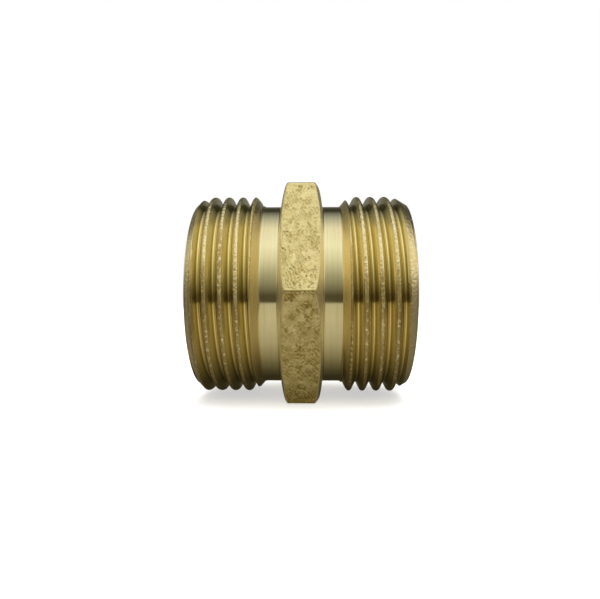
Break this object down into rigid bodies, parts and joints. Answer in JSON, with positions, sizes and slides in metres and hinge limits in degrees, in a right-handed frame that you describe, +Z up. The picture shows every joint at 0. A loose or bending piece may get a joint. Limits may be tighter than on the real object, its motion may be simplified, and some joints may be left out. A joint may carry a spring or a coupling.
{
  "type": "hex nipple",
  "caption": "Brass hex nipple: a hexagonal spanner collar between external pipe threads of equal size, with a through bore, for joining female fittings.",
  "frame": {"origin": "centre of the part: on the bore's axis, midway between the two end faces and in the middle of the hexagonal collar", "axes": "+X along the bore's axis, out of the right threaded end; +Z up, square to the hexagon's top flat; +Y away from the viewer, through a corner of the hexagon"},
  "size_m": [0.0344, 0.0398, 0.0344],
  "materials": {
    "forged_brass": "as-forged: matt and grainy, with small pits and shallow tool ripples",
    "turned_brass": "turned: bright, with fine rings around the axis and rougher thread crests"
  },
  "bodies": {
    "root": {"hex_collar": "forged_brass", "left_threaded_end": "turned_brass", "right_threaded_end": "turned_brass"}
  },
  "joints": []
}
